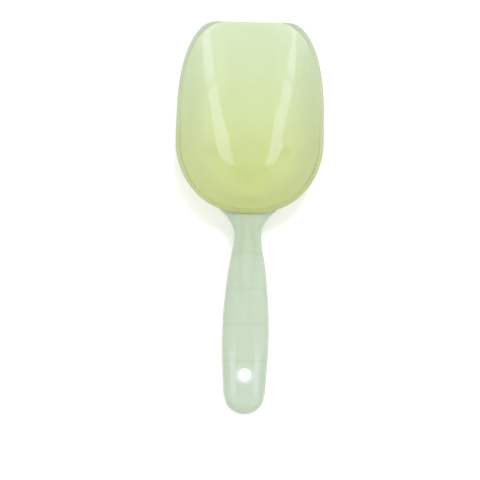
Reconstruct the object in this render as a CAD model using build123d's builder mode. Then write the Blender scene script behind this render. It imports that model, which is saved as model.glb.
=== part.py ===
"""Plastic ice scoop: a deep moulded bowl, and a hollow two-shell handle welded around the bowl's tang.

Frame: the origin is on the table, where the straight sides of the bowl end. +Y runs to the pouring lip,
+Z is up, and the scoop is mirrored about the plane x = 0. All sizes are in millimetres.
"""

from build123d import *
import os
from math import cos, isclose, pi, radians, sin, sqrt, tan

# Bowl. Its sides are straight from the lip back to the origin, where the rounded back begins.
# Its wall leaves the flat floor level, turns up through a quarter ellipse and is upright above that.
LIP_Y = 75.0
BACK_DEPTH = 40.3
BACK_POWER, BACK_ROUNDING = 1.8, 0.412
BOWL_HALF_WIDTH = 42.8
FLOOR_HALF_WIDTH = 14.9
FLOOR_LENGTH = 96.0
UPRIGHT_HEIGHT = 32.4
BOWL_WALL = 2.2

# Rim and lip. The rim rises from the lip to the back in one sweep that levels out at the back.
RIM_HEIGHT = 42.0
LIP_HEIGHT = 2.6
LIP_HALF_WIDTH = 25.1
LIP_CORNER_SLOPE = 38.0
LIP_CORNER_RADIUS = 9.0
RIM_EDGE_RADIUS = 0.6

# Handle, measured along its own axis from the root, which is at the bowl's back wall.
HANDLE_ROOT = (0.0, -40.0, 33.0)
HANDLE_TILT = 7.0
HANDLE_LENGTH = 116.2
ROOT_HALF_WIDTH, SWELL_HALF_WIDTH, END_HALF_WIDTH = 4.3, 13.5, 11.3
SWELL_AT, END_AT = 72.0, 107.4
FLARE_HALF_WIDTH, FLARE_LENGTH, FLARE_START = 10.4, 17.0, -2.0
NECK_TOP, SWELL_TOP = 6.4, 8.2
NECK_BOTTOM, SWELL_BOTTOM = 5.2, 6.2
HANDLE_WALL = 1.6

# Joints between the mouldings: a lap joint all round the shells, and a peg through the tang.
WELD_GAP = 0.05
LAP_DEPTH = 1.5
TANG_LENGTH, TANG_WIDTH, TANG_THICKNESS = 22.5, 9.0, 4.0
TANG_OVERLAP = 8.0
PEG_AT, PEG_RADIUS, PEG_TOP = 13.0, 2.0, 4.0
BOSS_RADIUS, BOSS_TOP, BOSS_BOTTOM = 3.6, 5.9, 4.2

# Cross ribs under the upper shell.
RIB_COUNT, RIB_FIRST, RIB_PITCH, RIB_THICKNESS = 4, 24.0, 20.6, 1.2

# Hanging hole: a tube that belongs to the upper shell and passes through the lower one.
HOLE_AT, HOLE_RADIUS, TUBE_WALL = 93.7, 4.2, 1.5
HOLE_EDGE_RADIUS = 0.8

REACH = 200.0


def bowl_outline(growth, inset, overrun):
    """Right half of a level outline, lip to back. Growth is 0 on the floor and 1 on the upright wall."""
    points = []
    steps = 12
    back = BACK_DEPTH - inset
    length = LIP_Y + back
    for step in range(steps + 1):
        share = sin(pi / 2 * step / steps)
        if step == 0:
            share -= overrun / length
        top_y = LIP_Y - length * share
        fullness = 1 - min(1.0, max(0.0, -top_y / back)) ** BACK_POWER
        top_x = (BOWL_HALF_WIDTH - inset) * fullness**BACK_ROUNDING
        floor_y = top_y + (length - FLOOR_LENGTH) * share**3
        floor_x = FLOOR_HALF_WIDTH * sqrt(max(0.0, 1 - ((LIP_Y - floor_y) / FLOOR_LENGTH) ** 2))
        points.append((floor_x + (top_x - floor_x) * growth, floor_y + (top_y - floor_y) * growth))
    points[-1] = (0.0, points[-1][1])
    return points


def bowl_block(inset, overrun=0.0):
    """The bowl as a solid lump, its surface moved inwards by inset and its front moved out by overrun."""
    with BuildPart() as block:
        for turn in (0, 12, 25, 38, 51, 64, 77, 90):
            level = inset + (UPRIGHT_HEIGHT - inset) * (1 - cos(radians(turn)))
            right = bowl_outline(sin(radians(turn)), inset, overrun)
            left = [(-x, y) for x, y in reversed(right[:-1])]
            with BuildSketch(Plane.XY.offset(level)):
                with BuildLine():
                    Spline(*right, *left)
                    Line(left[-1], right[0])
                make_face()
        loft()
        extrude(faces().sort_by(Axis.Z)[-1], amount=RIM_HEIGHT)
    return block.part


def swell(along):
    """Half width of the palm swell, without the flare at the handle's root."""
    if along < SWELL_AT:
        drop = (SWELL_HALF_WIDTH - ROOT_HALF_WIDTH) * (1 - along / SWELL_AT) ** 2
    else:
        drop = (SWELL_HALF_WIDTH - END_HALF_WIDTH) * ((along - SWELL_AT) / (END_AT - SWELL_AT)) ** 2
    return SWELL_HALF_WIDTH - drop


def handle_section(along, inset):
    """Half width, top height and bottom depth of the handle, inset from its surface."""
    share = (swell(along) - ROOT_HALF_WIDTH) / (SWELL_HALF_WIDTH - ROOT_HALF_WIDTH)
    flare = FLARE_HALF_WIDTH * max(0.0, 1 - max(along, FLARE_START) / FLARE_LENGTH) ** 2
    top = NECK_TOP + (SWELL_TOP - NECK_TOP) * share
    bottom = NECK_BOTTOM + (SWELL_BOTTOM - NECK_BOTTOM) * share
    return swell(along) + flare - inset, top - inset, bottom - inset


def along_handle(along, height=0.0):
    """A plane parallel to the parting plane, at a distance along the handle and a height above it."""
    tilt = radians(HANDLE_TILT)
    parting = Plane(HANDLE_ROOT, x_dir=(1, 0, 0), z_dir=(0, sin(tilt), cos(tilt)))
    return Plane(parting.from_local_coords((0, -along, height)), x_dir=(1, 0, 0), z_dir=parting.z_dir)


def handle_block(inset):
    """The handle as a solid lump of half-elliptical sections, closed by a rounded end."""
    end_length = HANDLE_LENGTH - inset - END_AT
    sections = [(along, 1.0) for along in (-8, -5, -2, 1, 5, 10, 17, 28, 42, 56, 70, 84, 96)]
    for turn in (0, 25, 45, 62, 76):
        sections.append((END_AT + end_length * sin(radians(turn)), cos(radians(turn))))
    outlines = []
    for along, closing in sections:
        half_width, top, bottom = (closing * size for size in handle_section(along, inset))
        base = along_handle(along)
        with BuildSketch(Plane(base.origin, x_dir=(1, 0, 0), z_dir=-base.y_dir)) as section:
            with BuildLine():
                EllipticalCenterArc((0, 0), half_width, top, 0, arc_size=180)
                EllipticalCenterArc((0, 0), half_width, bottom, 180, arc_size=180)
            make_face()
        outlines.append(section.sketch.faces()[0])
    outlines.append(Vertex(*along_handle(END_AT + end_length).origin))
    with BuildPart() as block:
        loft(outlines)
    return block.part


def post(along, radius, bottom, top):
    """A round post square to the parting plane, between two heights above it."""
    with BuildPart() as round_post:
        with BuildSketch(along_handle(along, bottom)):
            Circle(radius)
        extrude(amount=top - bottom)
    return round_post.part


def below(block, height):
    """The part of a block that is under a plane parallel to the parting plane."""
    with BuildPart() as lower:
        add(block)
        split(bisect_by=along_handle(0.0, height), keep=Keep.BOTTOM)
    return lower.part


def ribs():
    """The cross ribs, trimmed to the inside half of the upper shell's wall."""
    with BuildPart() as plates:
        for rib in range(RIB_COUNT):
            with BuildSketch(along_handle(RIB_FIRST + RIB_PITCH * rib, LAP_DEPTH)):
                Rectangle(2 * SWELL_HALF_WIDTH, RIB_THICKNESS)
        extrude(amount=SWELL_TOP)
        add(lap_block, mode=Mode.INTERSECT)
    return plates.part


def hanging_tube():
    """The tube of the hanging hole, from the handle's upper surface to its lower one."""
    with BuildPart() as tube:
        add(post(HOLE_AT, HOLE_RADIUS + TUBE_WALL, -2 * SWELL_BOTTOM, 2 * SWELL_TOP))
        add(handle_outside, mode=Mode.INTERSECT)
    return tube.part


handle_outside = handle_block(0.0)
handle_inside = handle_block(HANDLE_WALL)
lap_block = handle_block(HANDLE_WALL / 2)
tongue_block = handle_block(HANDLE_WALL / 2 + WELD_GAP)
bowl_clearance = bowl_block(-WELD_GAP)
tang_face = TANG_THICKNESS / 2

# Bowl: outside minus inside, with the tang that the handle closes on, trimmed to the rim and lip.
with BuildPart() as bowl:
    add(bowl_block(0.0))
    with BuildSketch(along_handle((TANG_LENGTH - TANG_OVERLAP) / 2, -tang_face)):
        Rectangle(TANG_WIDTH, TANG_LENGTH + TANG_OVERLAP)
    extrude(amount=TANG_THICKNESS)
    add(post(PEG_AT, PEG_RADIUS + WELD_GAP, -TANG_THICKNESS, TANG_THICKNESS), mode=Mode.SUBTRACT)
    add(bowl_block(BOWL_WALL, overrun=4.0), mode=Mode.SUBTRACT)
    with BuildSketch(Plane.YZ):
        sweep_foot = (LIP_Y, LIP_HEIGHT)
        sweep_top = (-BACK_DEPTH, RIM_HEIGHT)
        with BuildLine():
            Bezier(sweep_foot, ((LIP_Y - BACK_DEPTH) / 2, RIM_HEIGHT), sweep_top)
            Polyline(sweep_top, (-REACH, RIM_HEIGHT), (-REACH, -REACH), (LIP_Y, -REACH), sweep_foot)
        make_face()
    extrude(amount=REACH, both=True, mode=Mode.INTERSECT)
    with BuildSketch():
        corner_end = LIP_Y - (REACH - LIP_HALF_WIDTH) * tan(radians(LIP_CORNER_SLOPE))
        with BuildLine():
            Polyline((0, LIP_Y), (LIP_HALF_WIDTH, LIP_Y), (REACH, corner_end), (REACH, -REACH), (0, -REACH))
            mirror(about=Plane.YZ)
        make_face()
        lip_corners = vertices().filter_by_position(Axis.Y, LIP_Y - 1, LIP_Y + 1)
        lip_corners = lip_corners.filter_by(lambda corner: not isclose(corner.X, 0.0, abs_tol=1))
        fillet(lip_corners, LIP_CORNER_RADIUS)
    extrude(amount=REACH, mode=Mode.INTERSECT)
    rim_edges = edges().filter_by(lambda edge: edge.length > LIP_Y and edge.center().Z > RIM_HEIGHT / 2)
    fillet(rim_edges, RIM_EDGE_RADIUS)
bowl.part.label = "bowl"

# Upper shell: the domed top of the handle, its ribs, the peg's boss and the tube of the hanging hole.
with BuildPart() as handle_upper_shell:
    add(handle_outside)
    add(handle_inside, mode=Mode.SUBTRACT)
    split(bisect_by=along_handle(0.0), keep=Keep.TOP)
    add(below(lap_block, LAP_DEPTH), mode=Mode.SUBTRACT)
    add(ribs())
    add(post(PEG_AT, BOSS_RADIUS, tang_face + WELD_GAP, BOSS_TOP))
    add(post(PEG_AT, PEG_RADIUS + WELD_GAP, 0.0, PEG_TOP + WELD_GAP), mode=Mode.SUBTRACT)
    add(bowl_clearance, mode=Mode.SUBTRACT)
    add(hanging_tube())
    add(post(HOLE_AT, HOLE_RADIUS, -2 * SWELL_BOTTOM, 2 * SWELL_TOP), mode=Mode.SUBTRACT)
    bore = faces().filter_by(GeomType.CYLINDER).filter_by(lambda face: isclose(face.radius, HOLE_RADIUS))
    fillet(bore.edges().filter_by(GeomType.LINE, reverse=True), HOLE_EDGE_RADIUS)
handle_upper_shell.part.label = "handle_upper_shell"

# Lower shell: the underside, the tongue of the lap joint, and the peg with its boss under the tang.
with BuildPart() as handle_lower_shell:
    add(below(handle_outside, 0.0))
    add(below(tongue_block, LAP_DEPTH - WELD_GAP))
    add(handle_inside, mode=Mode.SUBTRACT)
    add(post(PEG_AT, BOSS_RADIUS, -BOSS_BOTTOM, -tang_face - WELD_GAP))
    add(post(PEG_AT, PEG_RADIUS, -BOSS_BOTTOM, PEG_TOP))
    add(bowl_clearance, mode=Mode.SUBTRACT)
    tube_radius = HOLE_RADIUS + TUBE_WALL
    add(post(HOLE_AT, tube_radius + WELD_GAP, -2 * SWELL_BOTTOM, 2 * LAP_DEPTH), mode=Mode.SUBTRACT)
handle_lower_shell.part.label = "handle_lower_shell"

os.makedirs("parts", exist_ok=True)
for piece in (bowl, handle_upper_shell, handle_lower_shell):
    export_step(piece.part, f"parts/{piece.part.label}.step")
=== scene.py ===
"""Looks of the plastic ice scoop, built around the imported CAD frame.

Sizes are in metres unless a comment says mm.
"""
from math import atan2, cos, pi, radians, sin, sqrt, tan

import bmesh
import bpy
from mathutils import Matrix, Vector


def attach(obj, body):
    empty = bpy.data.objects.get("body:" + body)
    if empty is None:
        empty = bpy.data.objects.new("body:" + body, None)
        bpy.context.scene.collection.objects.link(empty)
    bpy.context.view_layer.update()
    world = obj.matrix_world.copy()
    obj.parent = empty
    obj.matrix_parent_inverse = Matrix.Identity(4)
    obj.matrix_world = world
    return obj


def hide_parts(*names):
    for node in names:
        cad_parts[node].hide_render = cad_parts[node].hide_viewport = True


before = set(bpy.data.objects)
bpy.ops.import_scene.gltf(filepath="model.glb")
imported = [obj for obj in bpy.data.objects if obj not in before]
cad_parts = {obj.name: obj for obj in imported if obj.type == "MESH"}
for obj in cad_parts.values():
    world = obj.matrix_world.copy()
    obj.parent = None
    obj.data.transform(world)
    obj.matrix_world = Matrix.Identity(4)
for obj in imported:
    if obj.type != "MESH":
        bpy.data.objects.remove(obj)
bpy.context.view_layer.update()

MM = 0.001

# Bowl, in mm: the same driving sizes as the CAD part.
LIP_Y = 75.0
BACK_DEPTH = 40.3
BACK_POWER, BACK_ROUNDING = 1.8, 0.412
BOWL_HALF_WIDTH = 42.8
FLOOR_HALF_WIDTH = 14.9
FLOOR_LENGTH = 96.0
UPRIGHT_HEIGHT = 32.4
BOWL_WALL = 2.2
RIM_HEIGHT = 42.0
LIP_HEIGHT = 2.6
LIP_HALF_WIDTH = 25.1
LIP_CORNER_SLOPE = 38.0
LIP_CORNER_RADIUS = 9.0

# Handle, tang and ribs, in mm along the handle from its root.
ROOT_Y, ROOT_Z = -40.0, 33.0
HANDLE_TILT = radians(7)
TANG_START, TANG_END, TANG_WIDTH, TANG_THICKNESS = -1.0, 22.5, 9.0, 4.0
PEG_AT, PEG_HOLE_RADIUS = 13.0, 2.05
RIB_COUNT, RIB_FIRST, RIB_PITCH = 4, 24.0, 20.6

# How finely the bowl is divided: round it, up its wall and across its floor.
COLUMNS = 72
ROWS = 30
FLOOR_STRIPS = 16
TANG_STEPS = 48

# Colours as display values, and how much painted shade darkens the slanting walls, the rim's top and the
# plastic over a rib, and how much painted light lifts the upright walls.
# The bowl's colour darkens and yellows from lip to back as painted shade of the bowl's deep back.
BOWL_AT_LIP = (190, 204, 168)
BOWL_IN_MIDDLE = (191, 203, 147)
BOWL_AT_BACK = (183, 192, 106)
HANDLE_COLOR = (184, 198, 172)
WALL_PAINTED_SHADE = 0.16
RIM_PAINTED_SHADE = 0.62
UPRIGHT_PAINTED_LIGHT = 0.35
RIB_PAINTED_SHADE = 0.045

# Lighting.
SURROUNDINGS = 1.16
KEY_POWER = 8.0
SOFTBOX_RADIANCE = 3.5
SOFTBOX_TINT = (1.0, 0.94, 1.4, 1)
CLEAR_TINT = (0.78, 0.8, 0.97, 1)

# Softboxes stand in planes that lean to each side, at a distance in mm from the origin.
SOFTBOX_LEAN = radians(40)
SOFTBOX_REACH = 600.0

# Louvres of the bowl's softboxes, in mm. Light lands only ahead of a V across the bowl, with its point
# cut off.
# They and the dimmer join have no purpose but to end and break the reflections where they should.
LOUVRE_LEVEL = 3.0
LOUVRE_SLOPE, LOUVRE_POINT, LOUVRE_CUT, LOUVRE_ROUNDING = 2.4, -48.6, -11.0, 4.0
JOIN_DIMMING = 0.3

# The handle's softboxes light only what is behind this, in mm.
HANDLE_LIGHT_FROM = -43.0


def wall_point(share, climb, inset):
    """A point of the bowl's wall in mm.

    Share runs from the lip to the back. Climb is 0 at the floor and 1 where the wall becomes upright.
    """
    back = BACK_DEPTH - inset
    length = LIP_Y + back
    top_y = LIP_Y - length * share
    fullness = 1 - min(1.0, max(0.0, -top_y / back)) ** BACK_POWER
    top_x = (BOWL_HALF_WIDTH - inset) * fullness**BACK_ROUNDING
    floor_y = top_y + (length - FLOOR_LENGTH) * share**3
    floor_x = FLOOR_HALF_WIDTH * sqrt(max(0.0, 1 - ((LIP_Y - floor_y) / FLOOR_LENGTH) ** 2))
    turn = pi / 2 * min(climb, 1.0)
    height = inset + (UPRIGHT_HEIGHT - inset) * (1 - cos(turn)) + UPRIGHT_HEIGHT * max(0.0, climb - 1)
    growth = sin(turn)
    x = floor_x + (top_x - floor_x) * growth
    y = floor_y + (top_y - floor_y) * growth
    return x, trimmed(x, y), height


def lip_setback(x):
    """How far the lip's rounded corner lies behind the lip line, in mm, at a distance from the middle."""
    slope = radians(LIP_CORNER_SLOPE)
    arc_start = LIP_HALF_WIDTH - LIP_CORNER_RADIUS * tan(slope / 2)
    arc_end = arc_start + LIP_CORNER_RADIUS * sin(slope)
    if x <= arc_start:
        return 0.0
    if x < arc_end:
        return LIP_CORNER_RADIUS - sqrt(LIP_CORNER_RADIUS**2 - (x - arc_start) ** 2)
    return (x - LIP_HALF_WIDTH) * tan(slope)


def trimmed(x, y):
    """Moves a point near the lip back, so that the front of the bowl follows the lip's rounded corners."""
    fade = 24.0
    behind = LIP_Y - y
    if behind >= fade:
        return y
    return y - lip_setback(x) * (1 - behind / fade)


def rim_height(y):
    """Height of the rim in mm: one sweep that rises from the lip and levels out at the back."""
    left_to_go = 1 - (LIP_Y - y) / (LIP_Y + BACK_DEPTH)
    return LIP_HEIGHT + (RIM_HEIGHT - LIP_HEIGHT) * (1 - left_to_go**2)


def climb_to_rim(share, inset):
    """The climb at which a column of the wall meets the rim."""
    low, high = 0.0, 2.0
    for _ in range(40):
        middle = (low + high) / 2
        _, y, z = wall_point(share, middle, inset)
        if z < rim_height(y):
            low = middle
        else:
            high = middle
    return low


def skin_of_bowl(mesh, inset):
    """One skin of the bowl, as columns of vertices from floor to rim, right lip corner to left."""
    columns = []
    for side, order in ((1, range(COLUMNS + 1)), (-1, range(COLUMNS - 1, -1, -1))):
        for column in order:
            share = sin(pi / 2 * column / COLUMNS)
            top = climb_to_rim(share, inset)
            points = [wall_point(share, top * row / ROWS, inset) for row in range(ROWS + 1)]
            columns.append([mesh.verts.new((side * x * MM, y * MM, z * MM)) for x, y, z in points])
    return columns


def floor_of_bowl(mesh, columns, upward):
    """The level floor between the feet of the right and left columns."""
    last = len(columns) - 1
    previous = None
    for index in range(COLUMNS):
        right, left = columns[index][0], columns[last - index][0]
        strip = [right]
        for part in range(1, FLOOR_STRIPS):
            strip.append(mesh.verts.new(right.co.lerp(left.co, part / FLOOR_STRIPS)))
        strip.append(left)
        if previous:
            for part in range(FLOOR_STRIPS):
                face(mesh, (previous[part], previous[part + 1], strip[part + 1], strip[part]), upward)
        else:
            front = strip
        previous = strip
    tip = columns[COLUMNS][0]
    for part in range(FLOOR_STRIPS):
        face(mesh, (previous[part], previous[part + 1], tip), upward)
    return front


def face(mesh, corners, forward=True):
    """A face whose corners run anticlockwise seen from outside, or the other way round."""
    mesh.faces.new(corners if forward else tuple(reversed(corners)))


def bridge(mesh, first, second):
    """A strip of faces between two rows of vertices."""
    for a, b, c, d in zip(first, first[1:], second[1:], second):
        face(mesh, (a, b, c, d))


def build_bowl():
    """The bowl as one closed skin: outside, inside, rim and lip."""
    mesh = bmesh.new()
    outer = skin_of_bowl(mesh, 0.0)
    inner = skin_of_bowl(mesh, BOWL_WALL)
    for skin in (outer, inner):
        for first, second in zip(skin, skin[1:]):
            bridge(mesh, first, second)
    outer_front = floor_of_bowl(mesh, outer, False)
    inner_front = floor_of_bowl(mesh, inner, True)
    bridge(mesh, [column[-1] for column in outer], [column[-1] for column in inner])
    bridge(mesh, outer[0], inner[0])
    bridge(mesh, outer[-1], inner[-1])
    bridge(mesh, outer_front, inner_front)
    bmesh.ops.recalc_face_normals(mesh, faces=mesh.faces)
    piece = object_from(mesh, "bowl_shell")
    round_edges(piece, 0.8)
    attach(piece, "root")
    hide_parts("bowl")
    return piece


def on_handle(across, along, height):
    """A point measured along the tilted handle, in mm, as a place in metres."""
    y = ROOT_Y - along * cos(HANDLE_TILT) + height * sin(HANDLE_TILT)
    z = ROOT_Z + along * sin(HANDLE_TILT) + height * cos(HANDLE_TILT)
    return across * MM, y * MM, z * MM


def build_tang():
    """The tang on the bowl's back: a plate inside the handle's root, with a round hole for the peg."""
    half_width = TANG_WIDTH / 2
    front, back = TANG_START - PEG_AT, TANG_END - PEG_AT
    turns = [2 * pi * step / TANG_STEPS for step in range(TANG_STEPS)]
    for across in (-half_width, half_width):
        for along in (front, back):
            turns.append(atan2(along, across) % (2 * pi))
    mesh = bmesh.new()
    rings = []
    for height in (-TANG_THICKNESS / 2, TANG_THICKNESS / 2):
        plate_edge, hole_edge = [], []
        for turn in sorted(set(turns)):
            across, along = cos(turn), sin(turn)
            to_side = half_width / max(abs(across), 1e-9)
            to_end = (back if along > 0 else -front) / max(abs(along), 1e-9)
            out = min(to_side, to_end)
            plate_edge.append(mesh.verts.new(on_handle(out * across, PEG_AT + out * along, height)))
            hole = PEG_HOLE_RADIUS
            hole_edge.append(mesh.verts.new(on_handle(hole * across, PEG_AT + hole * along, height)))
        rings += [plate_edge + plate_edge[:1], hole_edge + hole_edge[:1]]
    low_plate, low_hole, high_plate, high_hole = rings
    bridge(mesh, low_plate, low_hole)
    bridge(mesh, low_hole, high_hole)
    bridge(mesh, high_hole, high_plate)
    bridge(mesh, high_plate, low_plate)
    bmesh.ops.recalc_face_normals(mesh, faces=mesh.faces)
    piece = object_from(mesh, "bowl_tang")
    round_edges(piece, 0.4)
    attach(piece, "root")
    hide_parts("bowl")
    return piece


def round_edges(piece, width):
    """Rounds a piece's sharp edges, by a width in mm."""
    edge = piece.modifiers.new("rounded_edges", "BEVEL")
    edge.width = width * MM
    edge.segments = 4
    edge.limit_method = "ANGLE"
    edge.angle_limit = radians(38)


def object_from(mesh, name):
    """Turns mesh code's result into a smooth-shaded object in the scene."""
    data = bpy.data.meshes.new(name)
    mesh.to_mesh(data)
    mesh.free()
    data.shade_smooth()
    piece = bpy.data.objects.new(name, data)
    bpy.context.scene.collection.objects.link(piece)
    return piece


def new_material(name):
    """An empty node material with its output."""
    material = bpy.data.materials.new(name)
    material.use_nodes = True
    material.node_tree.nodes.clear()
    return material


def node(material, kind, inputs=None, **settings):
    """Adds a node. Inputs are values, or the output socket of another node."""
    made = material.node_tree.nodes.new(kind)
    for name, value in settings.items():
        setattr(made, name, value)
    for name, value in (inputs or {}).items():
        if isinstance(value, bpy.types.NodeSocket):
            material.node_tree.links.new(value, made.inputs[name])
        else:
            made.inputs[name].default_value = value
    return made


def linear(display):
    """A linear colour from display values of 0 to 255."""
    values = [channel / 255 for channel in display]
    return tuple(((v + 0.055) / 1.055) ** 2.4 if v > 0.04045 else v / 12.92 for v in values) + (1.0,)


def ramp(material, factor, stops):
    """A colour ramp with the stops given as (position, colour)."""
    made = node(material, "ShaderNodeValToRGB", {"Fac": factor})
    points = made.color_ramp.elements
    while len(points) < len(stops):
        points.new(0.5)
    for point, (position, color) in zip(points, stops):
        point.position = position
        point.color = color
    return made.outputs["Color"]


def calculate(material, operation, first, second=0.0, third=0.0):
    """One sum on numbers or sockets."""
    return node(material, "ShaderNodeMath", {0: first, 1: second, 2: third}, operation=operation).outputs[0]


def mapped(material, value, low, high, to_low=0.0, to_high=1.0):
    """A value carried from one range to another, and held at its ends."""
    ranges = {"Value": value, "From Min": low, "From Max": high, "To Min": to_low, "To Max": to_high}
    return node(material, "ShaderNodeMapRange", ranges).outputs[0]


def scaled(material, color, share):
    """A colour made darker or lighter."""
    made = node(material, "ShaderNodeVectorMath", {0: color, "Scale": share}, operation="SCALE")
    return made.outputs["Vector"]


def mixed(material, share, first, second):
    """Two shaders mixed. A share of 0 gives the first."""
    return node(material, "ShaderNodeMixShader", {0: share, 1: first, 2: second}).outputs[0]


def noise(material, scale, detail):
    """Noise spread over the piece."""
    place = node(material, "ShaderNodeTexCoord").outputs["Object"]
    settings = {"Vector": place, "Scale": scale, "Detail": detail}
    return node(material, "ShaderNodeTexNoise", settings).outputs["Fac"]


def object_place(material):
    """A point's x, y and z in the shared frame."""
    place = node(material, "ShaderNodeTexCoord").outputs["Object"]
    return node(material, "ShaderNodeSeparateXYZ", {0: place}).outputs


def plastic(material, color, milkiness, see_through, roughness):
    """Milky plastic: scattered light seen from both sides, some see-through, and a polished surface."""
    color = scaled(material, color, mapped(material, noise(material, 60.0, 4.0), 0.3, 0.7, 0.98, 1.02))
    ripple = {"Height": noise(material, 35.0, 2.0), "Strength": 0.05, "Distance": 0.0005}
    bump = node(material, "ShaderNodeBump", ripple).outputs[0]
    rough = mapped(material, noise(material, 220.0, 6.0), 0.0, 1.0, roughness * 0.7, roughness * 1.3)
    pale = node(material, "ShaderNodeMix", {0: 0.5, 6: color, 7: CLEAR_TINT}, data_type="RGBA").outputs[2]
    scattered = node(material, "ShaderNodeBsdfDiffuse", {"Color": color}).outputs[0]
    through = node(material, "ShaderNodeBsdfTranslucent", {"Color": pale}).outputs[0]
    clear = node(material, "ShaderNodeBsdfTransparent", {"Color": pale}).outputs[0]
    body = mixed(material, see_through, mixed(material, milkiness, scattered, through), clear)
    gloss = node(material, "ShaderNodeBsdfGlossy", {"Roughness": rough, "Normal": bump}).outputs[0]
    edge = node(material, "ShaderNodeFresnel", {"IOR": 1.5, "Normal": bump}).outputs[0]
    inside = node(material, "ShaderNodeNewGeometry").outputs["Backfacing"]
    leave = node(material, "ShaderNodeBsdfTransparent").outputs[0]
    sheet = mixed(material, inside, mixed(material, edge, body, gloss), leave)
    node(material, "ShaderNodeOutputMaterial", {"Surface": sheet})
    return material


def bowl_plastic():
    """Pale green at the lip, olive yellow at the back: painted shade, deepening where the bowl is deep."""
    material = new_material("bowl_plastic")
    place = object_place(material)
    # Painted shade: darker and more olive towards the back.
    back = mapped(material, place["Y"], LIP_Y * MM, -0.040)
    stops = [(0.0, linear(BOWL_AT_LIP)), (0.5, linear(BOWL_IN_MIDDLE)), (1.0, linear(BOWL_AT_BACK))]
    color = ramp(material, back, stops)
    shade = painted_wall_shading(material)
    # Painted shade on the rim's top, which faces the lights.
    at_rim = nearness_to_rim(material, place)
    to_rim = calculate(material, "SUBTRACT", RIM_PAINTED_SHADE, shade)
    shade = calculate(material, "MULTIPLY_ADD", at_rim, to_rim, shade)
    return plastic(material, scaled(material, color, shade), 0.18, 0.15, 0.03)


def painted_wall_shading(material):
    """Painted shade where the wall slants, and painted light where it is upright."""
    normal = node(material, "ShaderNodeNewGeometry").outputs["Normal"]
    facing = node(material, "ShaderNodeSeparateXYZ", {0: normal}).outputs
    flatness = calculate(material, "ABSOLUTE", facing["Z"])
    steepness = calculate(material, "SUBTRACT", 1.0, flatness)
    slanting = calculate(material, "MULTIPLY", flatness, steepness)
    shade = calculate(material, "MULTIPLY_ADD", slanting, -4 * WALL_PAINTED_SHADE, 1.0)
    upright = calculate(material, "POWER", steepness, 4.0)
    return calculate(material, "MULTIPLY_ADD", upright, UPRIGHT_PAINTED_LIGHT, shade)


def nearness_to_rim(material, place):
    """Mask of the rim's painted shade: 1 on the rim, and 0 from just under it."""
    from_back = mapped(material, place["Y"], -BACK_DEPTH * MM, LIP_Y * MM)
    drop = calculate(material, "POWER", from_back, 2.0)
    rim = calculate(material, "MULTIPLY_ADD", drop, (LIP_HEIGHT - RIM_HEIGHT) * MM, RIM_HEIGHT * MM)
    return mapped(material, calculate(material, "SUBTRACT", place["Z"], rim), -0.0006, -0.0002)


def handle_plastic():
    """Pale mint, with a band of painted shade over each of the ribs inside, where they keep light from the
    plastic.
    """
    material = new_material("handle_plastic")
    place = object_place(material)
    root = (ROOT_Y * cos(HANDLE_TILT) - ROOT_Z * sin(HANDLE_TILT)) * MM
    along = calculate(material, "MULTIPLY_ADD", place["Y"], -cos(HANDLE_TILT), root)
    along = calculate(material, "MULTIPLY_ADD", place["Z"], sin(HANDLE_TILT), along)
    band = 0.0
    for rib in range(RIB_COUNT):
        from_rib = calculate(material, "SUBTRACT", along, (RIB_FIRST + RIB_PITCH * rib) * MM)
        near = mapped(material, calculate(material, "ABSOLUTE", from_rib), 0.0014, 0.0004)
        band = calculate(material, "ADD", near, band)
    shade = calculate(material, "MULTIPLY_ADD", band, -RIB_PAINTED_SHADE, 1.0)
    plain = node(material, "ShaderNodeRGB").outputs[0]
    plain.default_value = linear(HANDLE_COLOR)
    return plastic(material, scaled(material, plain, shade), 0.2, 0.3, 0.08)


def landing(material, level):
    """Where the light from a softbox's point crosses a level: x, y and the point's own y, in metres."""
    geometry = node(material, "ShaderNodeNewGeometry").outputs
    start = node(material, "ShaderNodeSeparateXYZ", {0: geometry["Position"]}).outputs
    way = node(material, "ShaderNodeSeparateXYZ", {0: geometry["Incoming"]}).outputs
    height = calculate(material, "SUBTRACT", start["Z"], level)
    travel = calculate(material, "DIVIDE", height, calculate(material, "MULTIPLY", way["Z"], -1.0))
    x = calculate(material, "MULTIPLY_ADD", way["X"], travel, start["X"])
    y = calculate(material, "MULTIPLY_ADD", way["Y"], travel, start["Y"])
    return x, y, start["Y"]


def bowl_emitter(name, join):
    """The front of a softbox for the bowl.

    Its louvres cut off light that would land behind the straight part of the bowl. Its two panels meet at a
    dimmer join.
    """
    material = new_material(name)
    x, y, on_panel = landing(material, LOUVRE_LEVEL * MM)
    outward = calculate(material, "ABSOLUTE", x)
    slant = calculate(material, "MULTIPLY_ADD", outward, LOUVRE_SLOPE, LOUVRE_POINT * MM)
    limit = calculate(material, "SMOOTH_MAX", slant, LOUVRE_CUT * MM, LOUVRE_ROUNDING * MM)
    passed = mapped(material, calculate(material, "SUBTRACT", y, limit), -0.0005, 0.0005)
    from_join = calculate(material, "ABSOLUTE", calculate(material, "SUBTRACT", on_panel, join))
    panels = mapped(material, from_join, 0.0015, 0.003, JOIN_DIMMING)
    return glowing(material, calculate(material, "MULTIPLY", passed, panels))


def handle_emitter(name):
    """The front of a softbox for the handle. Its louvres keep its light off the bowl."""
    material = new_material(name)
    _, y, _ = landing(material, ROOT_Z * MM)
    limit = HANDLE_LIGHT_FROM * MM
    return glowing(material, mapped(material, y, limit + 0.0005, limit - 0.0005))


def glowing(material, share):
    """Gives a softbox its glow, where share says how much of it passes the louvres."""
    strength = calculate(material, "MULTIPLY", share, SOFTBOX_RADIANCE)
    glow = node(material, "ShaderNodeEmission", {"Color": SOFTBOX_TINT, "Strength": strength}).outputs[0]
    node(material, "ShaderNodeOutputMaterial", {"Surface": glow})
    return material


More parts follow.
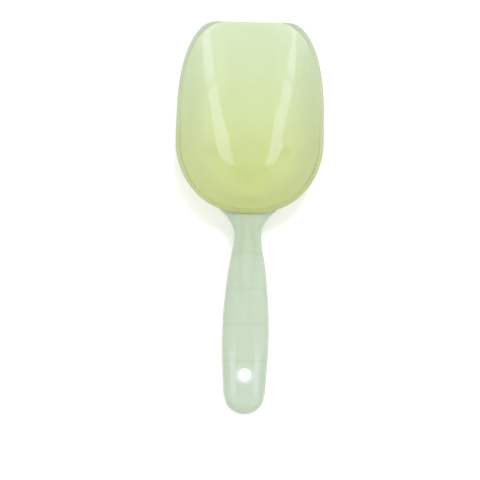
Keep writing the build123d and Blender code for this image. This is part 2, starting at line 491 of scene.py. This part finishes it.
def softbox(name, side, centre, length, width, turn, emitter):
    """A rectangular softbox beside the scoop that is only seen in reflections.

    Sizes are in mm and the turn is in degrees. The centre is given in the softbox's own plane: away from
    the scoop's top, and along the scoop.
    """
    facing = Vector((side * sin(SOFTBOX_LEAN), 0, cos(SOFTBOX_LEAN)))
    outward = Vector((side * cos(SOFTBOX_LEAN), 0, -sin(SOFTBOX_LEAN)))
    forward = Vector((0, 1, 0))
    middle = facing * SOFTBOX_REACH + outward * centre[0] + forward * centre[1]
    lengthwise = (outward * cos(radians(turn)) + forward * sin(radians(turn))) * length / 2
    crosswise = (forward * cos(radians(turn)) - outward * sin(radians(turn))) * width / 2
    mesh = bmesh.new()
    points = [middle + lengthwise * a + crosswise * b for a, b in ((-1, -1), (1, -1), (1, 1), (-1, 1))]
    mesh.faces.new([mesh.verts.new(point * MM) for point in points])
    box = object_from(mesh, name)
    box.data.materials.append(emitter)
    box.visible_camera = False
    box.visible_diffuse = False
    box.visible_transmission = False
    box.visible_shadow = False


def area_light(name, place, target, size, power):
    """A square soft light aimed at a point. It isn't seen in reflections."""
    data = bpy.data.lights.new(name, "AREA")
    data.size = size
    data.energy = power
    light = bpy.data.objects.new(name, data)
    light.location = place
    light.rotation_euler = (Vector(place) - Vector(target)).to_track_quat("Z", "Y").to_euler()
    light.visible_glossy = False
    bpy.context.scene.collection.objects.link(light)


def build_studio():
    """White table, white surroundings and soft lights."""
    mesh = bmesh.new()
    bmesh.ops.create_grid(mesh, x_segments=1, y_segments=1, size=3.0)
    table = object_from(mesh, "table_top")
    paper = new_material("paper")
    matt = node(paper, "ShaderNodeBsdfDiffuse", {"Color": (0.92, 0.92, 0.92, 1)})
    node(paper, "ShaderNodeOutputMaterial", {"Surface": matt.outputs[0]})
    table.data.materials.append(paper)
    world = bpy.data.worlds.new("studio")
    world.use_nodes = True
    world.node_tree.nodes["Background"].inputs["Color"].default_value = (1, 1, 1, 1)
    world.node_tree.nodes["Background"].inputs["Strength"].default_value = SURROUNDINGS
    bpy.context.scene.world = world
    area_light("key", (0.08, 0.30, 1.1), (0, 0, 0), 0.16, KEY_POWER)
    softbox("softbox_right", 1, (0, 110), 800, 42, 9, bowl_emitter("softbox_right", 0.117))
    softbox("softbox_left", -1, (-90, 105), 560, 42, 9, bowl_emitter("softbox_left", 0.121))
    handle_glow = handle_emitter("handle_softbox")
    for side, place in ((1, "right"), (-1, "left")):
        softbox("neck_light_" + place, side, (60, -140), 200, 160, 0, handle_glow)
        softbox("end_light_" + place, side, (-60, -60), 90, 60, 0, handle_glow)


def build_camera():
    """A long lens straight above the scoop."""
    data = bpy.data.cameras.new("camera")
    data.lens = 118.74
    camera = bpy.data.objects.new("camera", data)
    camera.location = (-0.0044, -0.0559, 0.950)
    camera.rotation_euler = (0, 0, radians(1.29))
    bpy.context.scene.collection.objects.link(camera)
    bpy.context.scene.camera = camera


bowl_finish = bowl_plastic()
for piece in (build_bowl(), build_tang()):
    piece.data.materials.append(bowl_finish)
handle_finish = handle_plastic()
for name in ("handle_upper_shell", "handle_lower_shell"):
    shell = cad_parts[name]
    shell.data.materials.clear()
    shell.data.materials.append(handle_finish)
build_studio()
build_camera()
bpy.context.scene.view_settings.view_transform = "Standard"
